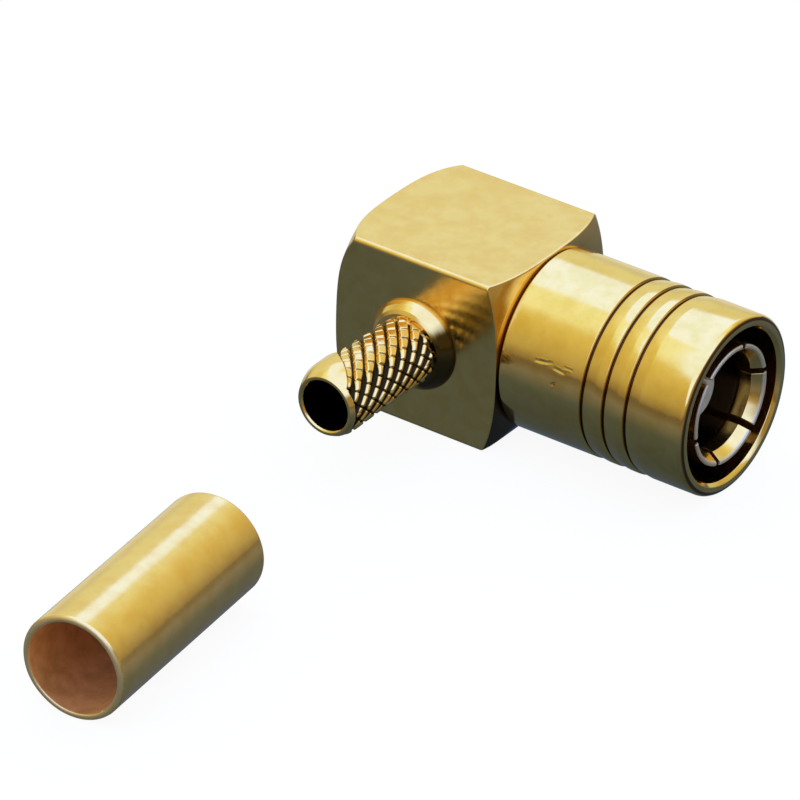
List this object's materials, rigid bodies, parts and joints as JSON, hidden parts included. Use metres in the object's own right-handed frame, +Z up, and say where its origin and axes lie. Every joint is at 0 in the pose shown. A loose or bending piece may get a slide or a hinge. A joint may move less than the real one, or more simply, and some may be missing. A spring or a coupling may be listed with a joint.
{
  "type": "right-angle smb plug connector",
  "caption": "Gold-plated right-angle push-on coaxial plug: square block, grooved round shell with slotted spring contact, knurled crimp stem and a loose crimp ferrule beside it.",
  "frame": {"origin": "underside of the square block, below the point where the shell axis and the cable axis cross", "axes": "+X the way the mating socket leaves the shell, -Y the way the cable leaves the crimp stem, +Z up"},
  "size_m": [0.014, 0.0275, 0.0063],
  "materials": {
    "gold_body": "polished gold plate, faintly dimpled",
    "gold_shell": "polished gold plate with fine turning marks",
    "gold_contact": "gold plate on spring alloy",
    "gold_stem": "bright gold plate on a diamond knurl",
    "gold_ferrule": "gold plate outside, bare copper tone inside",
    "insulator": "white fluoroplastic, machined"
  },
  "bodies": {
    "root": {"body_block": "gold_body", "plug_shell": "gold_shell", "spring_contact": "gold_contact", "front_insulator": "insulator", "centre_contact": "gold_contact", "rear_insulator": "insulator", "end_cap": "gold_body", "crimp_stem": "gold_stem", "crimp_ferrule": "gold_ferrule"}
  },
  "joints": []
}
